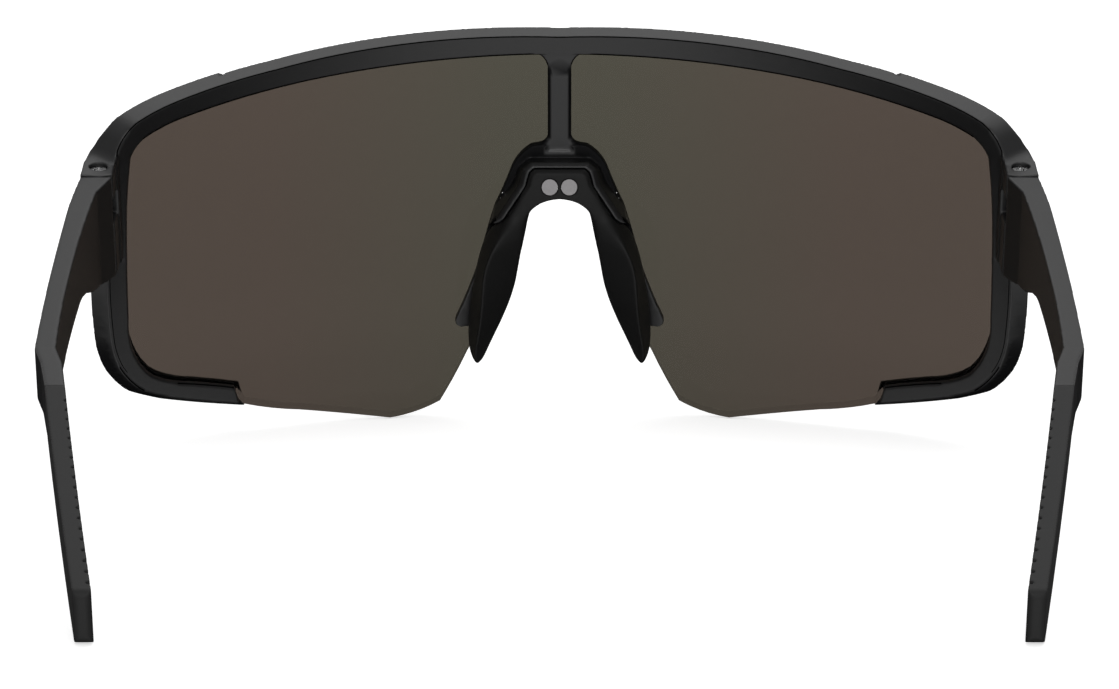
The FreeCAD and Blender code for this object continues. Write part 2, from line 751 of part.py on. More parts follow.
def make_pad_blank():
    """The soft pad before the bridge is cut out of it: a saddle with two wings."""
    owner = body("pad_blank")
    sections = []
    for level, (height, *ring) in enumerate(WING):
        section = sketch_on(owner, "XY_Plane", f"wing_{level}", lift=as_size(height))
        outline(section, [(as_size(x) + (d.arch_width / 2 - 5.1), y) for x, y in ring])
        sections.append(section)
    wing = owner.newObject("PartDesign::AdditiveLoft", "wing")
    wing.Profile = sections[0]
    wing.Sections = sections[1:]
    wing.Ruled = False
    doc.recompute()
    other = owner.newObject("PartDesign::Mirrored", "other_wing")
    other.Originals = [wing]
    other.MirrorPlane = (origin_part(owner, "YZ_Plane"), [""])
    owner.Tip = other

    saddle = seat_sketch(owner, "saddle", 0)
    outline(saddle, mirrored(seat_outline(0.8, -4.6)))
    pad(owner, "saddle_face", saddle, d.rim_drop, taper=50)
    plate = seat_sketch(owner, "plate", d.rim_drop - 0.05)
    outline(plate, mirrored(seat_outline(0.08, -4.6)))
    pad(owner, "saddle_plate", plate, d.pad_skin - d.rim_drop + 0.05)
    arch = sketch_on(owner, "XZ_Plane", "pad_arch")
    outline(arch, mirrored(arch_path(0, -20) + [(0, -20)]))
    pocket(owner, "pad_arch_cut", arch, FAR * 2, both=True)
    holes = seat_sketch(owner, "disc_holes", -1)
    magnet_circles(holes, d.magnet_diameter / 2 + 0.02)
    pocket(owner, "disc_hole", holes, d.pad_skin + 1.2, ahead=True)
    return owner


def make_carrier():
    """Hard plate moulded behind the rubber, which holds the two pad magnets."""
    owner = body("nose_pad_carrier")
    face = seat_sketch(owner, "carrier_face", d.pad_skin + 0.01)
    outline(face, mirrored([
        (0, 2.6), (3.8, 2.6), (4.4, 2.0), (5.0, 0.0), (6.3, -1.9), (4.2, -1.9), (0, -1.7),
    ]))
    pad(owner, "plate", face, d.carrier_thickness - 0.01)
    holes = seat_sketch(owner, "carrier_holes", d.pad_skin - 1)
    magnet_circles(holes, d.magnet_diameter / 2 + 0.02)
    pocket(owner, "carrier_hole", holes, d.carrier_thickness + 2, ahead=True)
    return owner


def make_magnet(name, side, depth, length):
    """A disc magnet whose axis is square to the seat."""
    owner = body(name)
    face = seat_sketch(owner, name + "_face", depth)
    circle(face, d.magnet_spacing / 2 * side, 0, d.magnet_diameter / 2)
    pad(owner, name + "_disc", face, length)
    return owner


# ---------------------------------------------------------------- hinge hardware
def stem(owner, name, side, low, radius, height, bore=None):
    """A round length on one screw axis, with an optional bore."""
    sketch = sketch_on(owner, "XY_Plane", name, lift=low)
    circle(sketch, d.hinge_x * side, hinge_y, radius)
    if bore is not None:
        circle(sketch, d.hinge_x * side, hinge_y, bore)
    return pad(owner, name + "_length", sketch, height)


def make_screw(name, side):
    """Flat-headed hinge screw with a cross recess."""
    owner = body(name)
    stem(owner, "shank", side, head_seat - d.screw_length, shank_radius, d.screw_length)
    stem(owner, "head", side, head_seat, d.screw_head / 2, d.screw_head_height)
    cross = sketch_on(owner, "XY_Plane", "cross", lift=head_seat + d.screw_head_height * 0.45)
    arm, half = 0.75, 0.14
    centre = d.hinge_x * side
    notch = [(arm, -half), (arm, half), (half, half), (half, arm), (-half, arm), (-half, half),
             (-arm, half), (-arm, -half), (-half, -half), (-half, -arm), (half, -arm), (half, -half)]
    outline(cross, [(centre + x, hinge_y + y) for x, y in notch])
    pocket(owner, "cross_recess", cross, 2, ahead=True)
    return owner


def make_ring(name, side, low, outer, height):
    """A plain sleeve on the screw: the bush of the tongue or the insert of the lower lug."""
    owner = body(name)
    stem(owner, name + "_ring", side, low, outer, height, bore=shank_radius + d.screw_play)
    return owner


# ---------------------------------------------------------------- temples
arm_end_outer = d.sleeve_start_x + d.temple_thickness / 2
arm_end_inner = d.sleeve_start_x - d.temple_thickness / 2
arm_low = d.temple_top - d.temple_height


def make_temple_blank(name, side):
    """Rigid front half of a temple: deep hinge head, slim arm and the inward step."""
    owner = body(name)
    plan = sketch_on(owner, "XY_Plane", "arm_plan", lift=d.hinge_bottom - 1)
    knee_outer = outer_x + 0.1
    knee_inner = knee_outer - d.temple_thickness - 0.2
    outline(plan, sided([
        (inner_x, joint_y),
        (outer_x, joint_y, -0.12),
        (outer_x + d.temple_bow, joint_y + 11, -0.3),
        (knee_outer, knuckle_y),
        (knee_outer - d.knuckle_step, knuckle_y + d.knuckle_length),
        (arm_end_outer, sleeve_start),
        (arm_end_inner, sleeve_start),
        (knee_inner - d.knuckle_step, knuckle_y + d.knuckle_length),
        (knee_inner, knuckle_y, 0.8),
        (inner_x + 1.75, joint_y + 4.9),
    ], side))
    pad(owner, "arm", plan, d.hinge_top - d.hinge_bottom + 2)

    profile = sketch_on(owner, "YZ_Plane", "arm_side")
    outline(profile, box_points(-FAR, FAR, -FAR, FAR))
    outline(profile, [
        (joint_y - 1, d.hinge_bottom),
        (joint_y + 3, d.hinge_bottom + 0.3, -0.35),
        (taper_end - 7, arm_low - 2.4, 0.5),
        (taper_end + 3, arm_low),
        (sleeve_start + 1, arm_low),
        (sleeve_start + 1, d.temple_top),
        (knuckle_y, d.temple_top, 0.15),
        (joint_y + 12, d.hinge_top - 0.8, 0.1),
        (joint_y - 1, d.hinge_top),
    ])
    pocket(owner, "arm_profile", profile, FAR * 2, both=True)

    tongue = sketch_on(owner, "XY_Plane", "tongue_plan", lift=d.tongue_top - d.tongue_height)
    radius = d.tongue_radius
    outline(tongue, sided([
        (d.hinge_x - radius, joint_y + 2),
        (d.hinge_x - radius, hinge_y, -radius * 0.292893),
        (d.hinge_x, hinge_y - radius, -radius * 0.292893),
        (d.hinge_x + radius, hinge_y),
        (d.hinge_x + radius, joint_y + 2),
    ], side))
    pad(owner, "tongue", tongue, d.tongue_height)
    hole = sketch_on(owner, "XY_Plane", "bush_seat", lift=d.tongue_top - d.tongue_height - 1)
    circle(hole, d.hinge_x * side, hinge_y, d.bush_diameter / 2 + 0.02)
    pocket(owner, "bush_hole", hole, d.tongue_height + 2, ahead=True)

    slot = sketch_on(owner, "XY_Plane", "core_slot", lift=core_middle - d.core_height / 2 - d.core_play)
    outline(slot, sided(core_plan(d.core_play, sleeve_start - d.core_in_arm, sleeve_start + 1), side))
    pocket(owner, "core_slot_cut", slot, d.core_height + d.core_play * 2, ahead=True)
    return owner


core_middle = d.temple_top - d.temple_height / 2 + 0.1


def line_x(y, at_start, at_end):
    """Across the sleeve: a place between its start and its end."""
    share = (y - sleeve_start) / (tip_y - sleeve_start)
    return at_start + (at_end - at_start) * share


def core_plan(grow, start, stop):
    half = d.core_thickness / 2 + grow
    return [
        (line_x(start, d.sleeve_start_x - half, d.tip_x - half), start - grow),
        (line_x(start, d.sleeve_start_x + half, d.tip_x + half), start - grow),
        (line_x(stop, d.sleeve_start_x + half, d.tip_x + half), stop + grow),
        (line_x(stop, d.sleeve_start_x - half, d.tip_x - half), stop + grow),
    ]


def make_core(name, side):
    """Flat steel strip moulded into the arm, with the sleeve pushed over it."""
    owner = body(name)
    plan = sketch_on(owner, "XY_Plane", "core_plan", lift=core_middle - d.core_height / 2)
    outline(plan, sided(core_plan(as_size(0), sleeve_start - d.core_in_arm, core_end), side))
    pad(owner, "strip", plan, d.core_height)
    return owner


def make_sleeve(name, side):
    """Rubber sleeve of the temple, with grip notches along its inner side."""
    owner = body(name)
    half = d.temple_thickness / 2
    tip_half = half - 0.2
    bow = as_size(0.12)
    plan = sketch_on(owner, "XY_Plane", "sleeve_plan", lift=arm_low - 1)
    outline(plan, sided([
        (d.sleeve_start_x + half, sleeve_start + 0.02, -bow),
        (d.tip_x + tip_half, tip_y - 0.9, -0.25),
        (d.tip_x + tip_half - 0.9, tip_y),
        (d.tip_x - tip_half + 0.9, tip_y, -0.25),
        (d.tip_x - tip_half, tip_y - 0.9, bow),
        (d.sleeve_start_x - half, sleeve_start + 0.02),
    ], side))
    pad(owner, "sleeve_block", plan, d.temple_height + 2)

    profile = sketch_on(owner, "YZ_Plane", "sleeve_side")
    outline(profile, box_points(-FAR, FAR, -FAR, FAR))
    tip_low = d.temple_top - d.tip_height
    outline(profile, [
        (sleeve_start - 1, arm_low),
        (tip_y - d.tip_round * 2, tip_low, -0.5),
        (tip_y + 0.05, tip_low + d.tip_round * 1.6),
        (tip_y + 0.05, d.temple_top - d.tip_round, -0.35),
        (tip_y - d.tip_round, d.temple_top),
        (sleeve_start - 1, d.temple_top),
    ])
    pocket(owner, "sleeve_profile", profile, FAR * 2, both=True)

    slot = sketch_on(owner, "XY_Plane", "strip_slot", lift=core_middle - d.core_height / 2 - d.core_play)
    outline(slot, sided(core_plan(d.core_play, sleeve_start - 1, core_end), side))
    pocket(owner, "strip_slot_cut", slot, d.core_height + d.core_play * 2, ahead=True)

    notches = sketch_on(owner, "XY_Plane", "grip_plan", lift=arm_low - 1)
    for i in range(19):
        near = sleeve_start + 4.4 + d.grip_pitch * i
        away = near + d.grip_width
        share = (i + 1.5) / 21
        lean = bow * (4 * share * (1 - share))
        floor_near = line_x(near, d.sleeve_start_x - half, d.tip_x - tip_half) + lean + d.grip_depth
        floor_away = line_x(away, d.sleeve_start_x - half, d.tip_x - tip_half) + lean + d.grip_depth
        outline(notches, sided([(floor_near, near), (floor_away, away),
                                (floor_away - 3, away - 0.5), (floor_near - 3, near - 0.5)], side))
    pocket(owner, "grip", notches, d.temple_height + 2, ahead=True)
    return owner


# ---------------------------------------------------------------- the assembly
shell = make_shell()
bridge = make_bridge()
lens_groove = make_lens("lens_groove", d.lens_play)
whole_frame = doc.addObject("Part::MultiFuse", "whole_frame")
whole_frame.Shapes = [shell, bridge]
grooved = combine("Cut", "grooved_frame", whole_frame, lens_groove)
relieved = combine("Cut", "relieved_frame", grooved, make_relief())
pieces = [combine("Cut", "front_frame", relieved, make_window()), make_lens("lens", as_size(0))]

pad_space = body("pad_space")
shield_layer(pad_space, "pad_space_layer", as_size(-14), d.lens_thickness + d.skirt_gap + d.skirt_thickness + 0.05)
pad_fitted = combine("Cut", "pad_fitted", make_pad_blank(), bridge)
pieces.append(combine("Cut", "nose_pad", pad_fitted, pad_space))
pieces.append(make_carrier())
for side, word in ((1, "right"), (-1, "left")):
    seat_floor = d.pad_skin + d.carrier_thickness + d.seat_play
    pieces.append(make_magnet(f"pad_magnet_{word}", side, as_size(0), d.magnet_length))
    pieces.append(make_magnet(f"frame_magnet_{word}", side, seat_floor, d.frame_magnet_length))
    pieces.append(make_screw(f"hinge_screw_{word}", side))
    pieces.append(make_ring(f"hinge_insert_{word}", side, insert_low, d.insert_diameter / 2, d.insert_length))
    tongue_low = d.tongue_top - d.tongue_height
    pieces.append(make_ring(f"hinge_bush_{word}", side, tongue_low, d.bush_diameter / 2, d.tongue_height))
    pieces.append(make_temple_blank(f"temple_{word}", side))
    pieces.append(make_core(f"temple_core_{word}", side))
    pieces.append(make_sleeve(f"temple_sleeve_{word}", side))
doc.recompute()


def check(things):
    """Stop before writing anything if a feature failed or a shape is bad."""
    for thing in doc.Objects:
        if "Invalid" in thing.State or "Error" in thing.State:
            raise SystemExit(f"{thing.Label} failed: {thing.State}")
    for thing in things:
        shape = thing.Shape
        if shape.isNull() or not shape.isValid() or shape.Volume < 0.1:
            raise SystemExit(f"{thing.Label} has a bad shape")


check(pieces)


# ---------------------------------------------------------------- lowering it on to the table
def low_at(placement, points):
    return min(placement.multVec(point).z for point in points)


def lowest_points(thing):
    """Points of the underside of a piece, fine enough to find what touches the table."""
    return [vertex for vertex in thing.Shape.tessellate(0.02)[0]]


front_points = lowest_points([p for p in pieces if p.Name == "lens"][0])
tip_points = lowest_points([p for p in pieces if p.Name == "temple_sleeve_right"][0])
shallow, steep = 5.0, 30.0
for _ in range(40):
    lean = (shallow + steep) / 2
    turn = Placement(Vector(0, 0, 0), Rotation(Vector(1, 0, 0), -lean))
    if low_at(turn, tip_points) > low_at(turn, front_points):
        shallow = lean
    else:
        steep = lean
turned = Part.Compound([piece.Shape.copy() for piece in pieces])
turned.Placement = turn
box = turned.optimalBoundingBox(False, False)
rest = Placement(Vector(-box.Center.x, -box.Center.y, -box.ZMin), Rotation(Vector(1, 0, 0), -lean))
for piece in pieces:
    piece.Placement = rest.multiply(piece.Placement)
doc.recompute()
check(pieces)

print(f"lean {lean:.3f} deg, size {box.XLength:.2f} x {box.YLength:.2f} x {box.ZLength:.2f}, moved {rest.Base}")
for word, point in (("hinge", Vector(d.hinge_x.value, hinge_y.value, d.hinge_bottom.value)),
                    ("seat", Vector(0, d.seat_y.value, d.seat_z.value)),
                    ("tip", Vector(d.tip_x.value, tip_y.value, d.temple_top.value))):
    here = rest.multVec(point)
    print(f"{word} {here.x:.3f} {here.y:.3f} {here.z:.3f}")

os.makedirs("parts", exist_ok=True)
for piece in pieces:
    piece.Shape.exportStep(f"parts/{piece.Label}.step")
    print(f"{piece.Label}: {piece.Shape.Volume:.1f} mm3, {len(piece.Shape.Solids)} solid")
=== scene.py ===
import json
import math

import bmesh
import bpy
import numpy
from mathutils import Matrix, Vector
from mathutils.kdtree import KDTree

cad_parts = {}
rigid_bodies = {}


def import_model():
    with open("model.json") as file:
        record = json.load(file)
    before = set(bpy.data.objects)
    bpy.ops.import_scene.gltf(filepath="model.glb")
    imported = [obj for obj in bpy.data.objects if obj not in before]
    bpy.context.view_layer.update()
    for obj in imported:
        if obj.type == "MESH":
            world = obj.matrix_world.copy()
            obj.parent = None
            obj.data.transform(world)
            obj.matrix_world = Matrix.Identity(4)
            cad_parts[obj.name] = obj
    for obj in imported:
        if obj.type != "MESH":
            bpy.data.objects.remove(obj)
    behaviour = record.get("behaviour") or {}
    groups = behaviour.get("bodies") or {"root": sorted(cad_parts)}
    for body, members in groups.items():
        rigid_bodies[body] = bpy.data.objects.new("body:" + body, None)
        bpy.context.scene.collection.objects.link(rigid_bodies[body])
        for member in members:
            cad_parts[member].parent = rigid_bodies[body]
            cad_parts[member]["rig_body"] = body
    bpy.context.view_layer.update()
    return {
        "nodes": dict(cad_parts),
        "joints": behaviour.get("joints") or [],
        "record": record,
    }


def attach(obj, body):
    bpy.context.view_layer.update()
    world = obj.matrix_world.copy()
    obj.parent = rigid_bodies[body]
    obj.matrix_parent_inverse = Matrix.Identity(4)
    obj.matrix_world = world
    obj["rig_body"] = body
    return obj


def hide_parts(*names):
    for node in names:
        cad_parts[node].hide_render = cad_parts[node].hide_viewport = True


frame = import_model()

MM = 0.001
nodes = frame["nodes"]
scene = bpy.context.scene

# ---------------------------------------------------------------- the level frame
# The glasses were drawn level and then leant forward until they rest on the floor.
# LEVEL turns a point of that level drawing, in metres, into the frame of the model.
HINGE_LEVEL = Vector((68.55, 37.5, 37.2)) * MM
fold = [joint for joint in frame["joints"] if joint["name"] == "fold_right"][0]
lean_turn = Matrix.Rotation(-math.atan2(fold["axis"][1], fold["axis"][2]), 4, "X")
LEVEL = Matrix.Translation(Vector(fold["pos_m"]) - lean_turn @ HINGE_LEVEL) @ lean_turn

# the torus that the lens is cut from, in millimetres of the level frame
BASE_RADIUS, DROP_RADIUS, EQUATOR = 88.0, 110.0, 33.0

# depth of rear faces behind the outside of the lens
FRAME_BACK = 2.8            # brow, sides and lower rims
POST_BACK = 3.45            # centre post
SKIRT_BACK = 3.95           # raised block of the skirt, below the post

# ---------------------------------------------------------------- materials
FLOW_MARKS = 0.055          # drifts of shade to a millimetre: one is about 18 mm wide
GRAIN_DEPTH = 0.02          # depth of the eroded grain, in mm
# Where the front is marked matt, its gleam drops to this level: painted shade, so that those places render
# darker.
PAINTED_SHADE_GLEAM = 0.05           # specular level where the front is marked matt


def linear(hex_colour):
    """An sRGB hex colour as linear RGBA."""
    parts = [int(hex_colour[i:i + 2], 16) / 255 for i in (1, 3, 5)]
    return tuple(c / 12.92 if c <= 0.04045 else ((c + 0.055) / 1.055) ** 2.4 for c in parts) + (1.0,)


def add(tree, kind, sockets=None, **settings):
    """Add a node, set its settings, and fill its sockets with values or links."""
    made = tree.nodes.new(kind)
    for key, value in settings.items():
        setattr(made, key, value)
    for key, value in (sockets or {}).items():
        if isinstance(value, bpy.types.NodeSocket):
            tree.links.new(value, made.inputs[key])
        else:
            made.inputs[key].default_value = value
    return made


def principled(name, **sockets):
    """A new material and its tree, with values set on the shader's own sockets."""
    made = bpy.data.materials.new(name)
    made.use_nodes = True
    shader = made.node_tree.nodes["Principled BSDF"]
    for key, value in sockets.items():
        shader.inputs[key.replace("_", " ")].default_value = value
    return made, made.node_tree, shader


def mixed_shade(tree, shader, share, shades):
    """Colour a shader with a mix of two shades."""
    shade = add(tree, "ShaderNodeMix", {"Factor": share, "A": linear(shades[0]), "B": linear(shades[1])},
                data_type="RGBA")
    tree.links.new(shade.outputs["Result"], shader.inputs["Base Color"])


def moulded(name, shades, roughness, gleam, grain):
    """Moulded plastic or rubber: a slow drift between two shades, and a fine eroded grain.

    gleam is the specular level, and grain the number of grains to a millimetre."""
    made, tree, shader = principled(name, Specular_IOR_Level=gleam)
    place = add(tree, "ShaderNodeTexCoord").outputs["Object"]
    drift = add(tree, "ShaderNodeTexNoise", {"Vector": place, "Scale": FLOW_MARKS / MM, "Detail": 3.0})
    mixed_shade(tree, shader, drift.outputs["Fac"], shades)
    fine = add(tree, "ShaderNodeTexNoise", {"Vector": place, "Scale": grain / MM, "Detail": 2.0,
                                            "Roughness": 0.6})
    gloss = add(tree, "ShaderNodeMapRange", {"Value": fine.outputs["Fac"], "To Min": roughness - 0.06,
                                             "To Max": roughness + 0.06})
    tree.links.new(gloss.outputs["Result"], shader.inputs["Roughness"])
    bump = add(tree, "ShaderNodeBump", {"Height": fine.outputs["Fac"], "Strength": 0.25,
                                        "Distance": GRAIN_DEPTH * MM})
    tree.links.new(bump.outputs["Normal"], shader.inputs["Normal"])
    return made


def dulled_for_painted_shade(made):
    """Take the gleam away where a mesh carries the attribute matt, as painted shade that makes those places
    render darker, and hand the material back.
    """
    tree = made.node_tree
    level = tree.nodes["Principled BSDF"].inputs["Specular IOR Level"]
    matt = add(tree, "ShaderNodeAttribute", attribute_name="matt").outputs["Fac"]
    shine = add(tree, "ShaderNodeMapRange", {"Value": matt, "To Min": level.default_value,
                                             "To Max": PAINTED_SHADE_GLEAM})
    tree.links.new(shine.outputs["Result"], level)
    return made


def metal(name, shades, roughness, scratches):
    """Plated or bright metal, with fine handling marks, so many to a millimetre."""
    made, tree, shader = principled(name, Metallic=1.0)
    place = add(tree, "ShaderNodeTexCoord").outputs["Object"]
    fine = add(tree, "ShaderNodeTexNoise", {"Vector": place, "Scale": scratches / MM, "Detail": 4.0})
    mixed_shade(tree, shader, fine.outputs["Fac"], shades)
    gloss = add(tree, "ShaderNodeMapRange", {"Value": fine.outputs["Fac"], "To Min": roughness - 0.08,
                                             "To Max": roughness + 0.1})
    tree.links.new(gloss.outputs["Result"], shader.inputs["Roughness"])
    return made


def tinted_shield(name, shades, middle, sides):
    """Clear plastic tinted through, from one shade in the middle to another at the sides, in mm."""
    # Polycarbonate bends light by 1.58. The value here is far lower, which leaves the even
    # tint and takes nearly all of the shield's own mirror image away.
    made, tree, shader = principled(name, Transmission_Weight=1.0, Roughness=0.0, IOR=1.07)
    place = add(tree, "ShaderNodeTexCoord").outputs["Object"]
    across = add(tree, "ShaderNodeSeparateXYZ", {"Vector": place}).outputs["X"]
    away = add(tree, "ShaderNodeMath", {0: across}, operation="ABSOLUTE").outputs[0]
    share = add(tree, "ShaderNodeMapRange", {"Value": away, "From Min": middle * MM, "From Max": sides * MM})
    mixed_shade(tree, shader, share.outputs["Result"], shades)
    return made


# Eroded moulds leave pits of about 0.05 mm. They are too fine to show and are drawn coarser:
# 9 to a millimetre (0.11 mm) on plastic and 12 (0.08 mm) on rubber. Handling marks on metal
# are a few hundredths of a millimetre wide and are drawn 0.3 to 0.4 mm wide.
looks = {
    # injection-moulded nylon from an eroded mould: near black, with a broad satin sheen
    # its gleam is taken away where the front is marked matt: painted shade, which renders those places darker
    "frame_plastic": dulled_for_painted_shade(
        moulded("satin_moulded_nylon", ("#0f0f10", "#131314"), 0.38, 0.45, 9)),
    # the same nylon in the arms, a touch duller
    "temple_plastic": moulded("satin_moulded_nylon_arm", ("#0f0f10", "#131314"), 0.4, 0.42, 9),
    # thermoplastic elastomer, moulded: soft and matt, with hardly any sheen
    "pad_rubber": moulded("matt_moulded_elastomer", ("#121212", "#161616"), 0.55, 0.2, 12),
    # moulded rubber of the sleeves: matt and dry, a little paler than the nylon
    "sleeve_rubber": moulded("matt_moulded_rubber", ("#131313", "#171717"), 0.58, 0.3, 12),
    # nylon as it leaves a plain mould, hidden inside the pad: dark grey, half matt
    "inner_plastic": moulded("plain_moulded_nylon", ("#1c1c1c", "#202020"), 0.5, 0.4, 9),
    # moulded acetal of the hinge bushes: grey and slightly waxy
    "bush_plastic": moulded("moulded_acetal", ("#303030", "#363636"), 0.45, 0.5, 9),
    # nickel plate on a ground magnet: a soft mid grey that mirrors nothing sharply
    "magnet": metal("nickel_plated_magnet", ("#828081", "#908e8f"), 0.42, 2.5),
    # turned stainless steel: bright, with small sharp lights on the rim of the head
    "screw_steel": metal("turned_stainless_steel", ("#dcdcdc", "#ececec"), 0.24, 3),
    # turned brass of the threaded inserts: yellow and half bright
    "insert_metal": metal("turned_brass", ("#a08a50", "#b09a60"), 0.35, 3),
    # rolled spring steel of the cores: plain grey, half bright
    "core_steel": metal("rolled_spring_steel", ("#9a9a9a", "#acacac"), 0.35, 3),
    # polished polycarbonate: dark smoke brown, a little greener towards the nose
    "lens_tint": tinted_shield("tinted_polycarbonate", ("#44423a", "#48403a"), 8.0, 45.0),
    # painted shadow: near black and without gleam, for thin tubes that stand for the shaded bottoms of fine
    # grooves and gaps, which the mesh doesn't cut
    "groove": principled("painted_groove_shadow", Base_Color=linear("#050505"), Specular_IOR_Level=0.0,
                         Roughness=0.9)[0],
}


# ---------------------------------------------------------------- pieces made from the frame's own meshes
SAME_POINT = 1e-6           # corners of loose triangles closer than this, in metres, are one point


def joined(mesh):
    """The loose triangles of a mesh joined into one shape, to be freed after use."""
    shape = bmesh.new()
    shape.from_mesh(mesh)
    bmesh.ops.remove_doubles(shape, verts=shape.verts, dist=SAME_POINT)
    return shape


def applied(made):
    """Bake the modifiers of an object into its mesh."""
    graph = bpy.context.evaluated_depsgraph_get()
    mesh = bpy.data.meshes.new_from_object(made.evaluated_get(graph))
    made.modifiers.clear()
    made.data = mesh


def standing_for(made, node):
    """Ride on the node's body in its place, in its own material."""
    slot = [part["material_slot"] for part in frame["record"]["subparts"] if part["node"] == node][0]
    made.data.materials.clear()
    made.data.materials.append(looks[slot])
    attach(made, nodes[node]["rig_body"])
    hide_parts(node)


def ramp(value, low, high):
    """0 below low, 1 above high, and a straight slope between."""
    return numpy.clip((value - low) / (high - low), 0, 1)


def bump_at(value, centre, width):
    """1 at the centre of a line or groove and 0 a width away, with soft shoulders."""
    away = numpy.clip(numpy.abs(value - centre) / width, 0, 1)
    return (1 - away * away) ** 2


def depth_behind(points):
    """Depth behind the outside of the lens, measured square to the shield."""
    across = numpy.hypot(points[:, 0], BASE_RADIUS - points[:, 1]) + DROP_RADIUS - BASE_RADIUS
    return DROP_RADIUS - numpy.hypot(across, points[:, 2] - EQUATOR)


def forward(points):
    """The direction square to the shield, towards its outside."""
    x, y, z = points.T
    plan = numpy.hypot(x, BASE_RADIUS - y)
    tube = numpy.hypot(plan + DROP_RADIUS - BASE_RADIUS, z - EQUATOR)
    out = (plan + DROP_RADIUS - BASE_RADIUS) / tube
    return numpy.stack([out * x / plan, out * (y - BASE_RADIUS) / plan, (z - EQUATOR) / tube], axis=1)


class Skin:
    """A finely remeshed copy of a node, whose points are moved in level millimetres."""

    def __init__(self, node, voxel):
        self.node = node
        self.made = bpy.data.objects.new(node + "_moulded", nodes[node].data.copy())
        scene.collection.objects.link(self.made)
        shape = joined(self.made.data)
        shape.to_mesh(self.made.data)
        shape.free()
        remesh = self.made.modifiers.new("even", "REMESH")
        remesh.mode = "VOXEL"
        remesh.voxel_size = voxel * MM
        applied(self.made)
        mesh = self.made.data
        self.points = self.level_points()
        self.links = numpy.empty(len(mesh.edges) * 2, dtype=numpy.int64)
        mesh.edges.foreach_get("vertices", self.links)
        self.links = self.links.reshape(-1, 2)
        self.degree = numpy.bincount(self.links.ravel(), minlength=len(self.points))

    def level_points(self):
        """The points of the mesh as it stands, in level millimetres."""
        mesh = self.made.data
        flat = numpy.empty(len(mesh.vertices) * 3)
        mesh.vertices.foreach_get("co", flat)
        back = numpy.array(LEVEL.inverted())
        return (flat.reshape(-1, 3) @ back[:3, :3].T + back[:3, 3]) / MM

    def write(self):
        """Put the moved points back into the mesh."""
        ahead = numpy.array(LEVEL)
        placed = self.points * MM @ ahead[:3, :3].T + ahead[:3, 3]
        self.made.data.vertices.foreach_set("co", placed.ravel())
        self.made.data.update()

    def mean_of_neighbours(self):
        """For each point, the mean of the points it shares an edge with."""
        start, stop = self.links.T
        total = numpy.zeros_like(self.points)
        for axis in range(3):
            column = self.points[:, axis]
            total[:, axis] = (numpy.bincount(start, column[stop], len(column))
                              + numpy.bincount(stop, column[start], len(column)))
        return total / self.degree[:, None]

    def relax(self, rounds, weight=1.0):
        """Round the edges: each point moves halfway to the mean of its neighbours."""
        share = numpy.broadcast_to(numpy.asarray(weight, dtype=float), (len(self.points),))[:, None] * 0.5
        for _ in range(rounds):
            self.points += (self.mean_of_neighbours() - self.points) * share

    def press(self, depth):
        """Move every point inwards along its normal by a depth in millimetres."""
        self.write()
        mesh = self.made.data
        flat = numpy.empty(len(mesh.vertices) * 3)
        mesh.vertices.foreach_get("normal", flat)
        self.points -= flat.reshape(-1, 3) @ numpy.array(LEVEL)[:3, :3] * depth[:, None]

    def chamfer(self, near, chosen, face, width):
        """Slope a rear face down to an edge: near is the distance from that edge."""
        limit = face - numpy.clip(width - near, 0, None)
        over = numpy.where(chosen, depth_behind(self.points) - limit, 0.0)
        self.points += forward(self.points) * numpy.clip(over, 0, None)[:, None]

    def finish(self, triangles):
        """Thin the mesh where it is flat, and let it stand for its node."""
        self.write()
        count = sum(len(face.vertices) - 2 for face in self.made.data.polygons)
        if count > triangles:
            thin = self.made.modifiers.new("thin", "DECIMATE")
            thin.ratio = triangles / count
            applied(self.made)
        for polygon in self.made.data.polygons:
            polygon.use_smooth = True
        # above 50, large flat faces count for more than the small ones beside them
        self.made.modifiers.new("even_shading", "WEIGHTED_NORMAL").weight = 60
        applied(self.made)
        standing_for(self.made, self.node)


# ---------------------------------------------------------------- edges round the front's rear face
SHARP = math.radians(32)    # edges that turn less than this are part of a curve
EDGE_REACH = 0.2            # an edge this near to the rear face, in mm, lies on it


def rear_edges(keep):
    """Sharp edges round the rear face of the front: two level points, the wall's normal, the rear.

    keep gets the middle of an edge and the normal of the wall that meets the rear face there."""
    shape = joined(nodes["front_frame"].data)
    shape.normal_update()
    back = LEVEL.inverted()
    found = []
    for edge in shape.edges:
        if len(edge.link_faces) != 2 or edge.calc_face_angle(0) < SHARP:
            continue
        start, stop = [back @ vertex.co / MM for vertex in edge.verts]
        middle = (start + stop) / 2
        if abs(float(depth_behind(numpy.array([middle]))[0]) - FRAME_BACK) > EDGE_REACH:
            continue
        rear = Vector(forward(numpy.array([middle]))[0]) * -1
        wall = min([back.to_3x3() @ face.normal for face in edge.link_faces], key=lambda n: n.dot(rear))
        if abs(wall.dot(rear)) < 0.5 and keep(middle, wall):
            found.append((start, stop, wall.normalized(), rear))
    shape.free()
    return found


def in_opening(point, wall):
    """True on the edges that face the lens opening."""
    looks_down = wall.z < -0.35
    looks_inwards = point.x * wall.x < 0
    if abs(point.x) < 6:        # brow and post
        return looks_down or (point.x * wall.x > 0 and 36 < point.z < 53)
    if point.z < 8:             # lower corner rims
        return wall.z > 0.1
    return looks_down or (abs(point.x) > 40 and looks_inwards and wall.z < 0.3)


def distance_from(edges, points, chosen, far, step=0.12):
    """Distance of the chosen points from the nearest of some edges, and far for the others."""
    along = []
    for start, stop, _, _ in edges:
        count = max(1, int((stop - start).length / step))
        along += [start.lerp(stop, i / count) for i in range(count + 1)]
    tree = KDTree(len(along))
    for i, point in enumerate(along):
        tree.insert(point, i)
    tree.balance()
    away = numpy.full(len(points), far)
    for i in numpy.flatnonzero(chosen):
        away[i] = tree.find(points[i])[2]
    return away


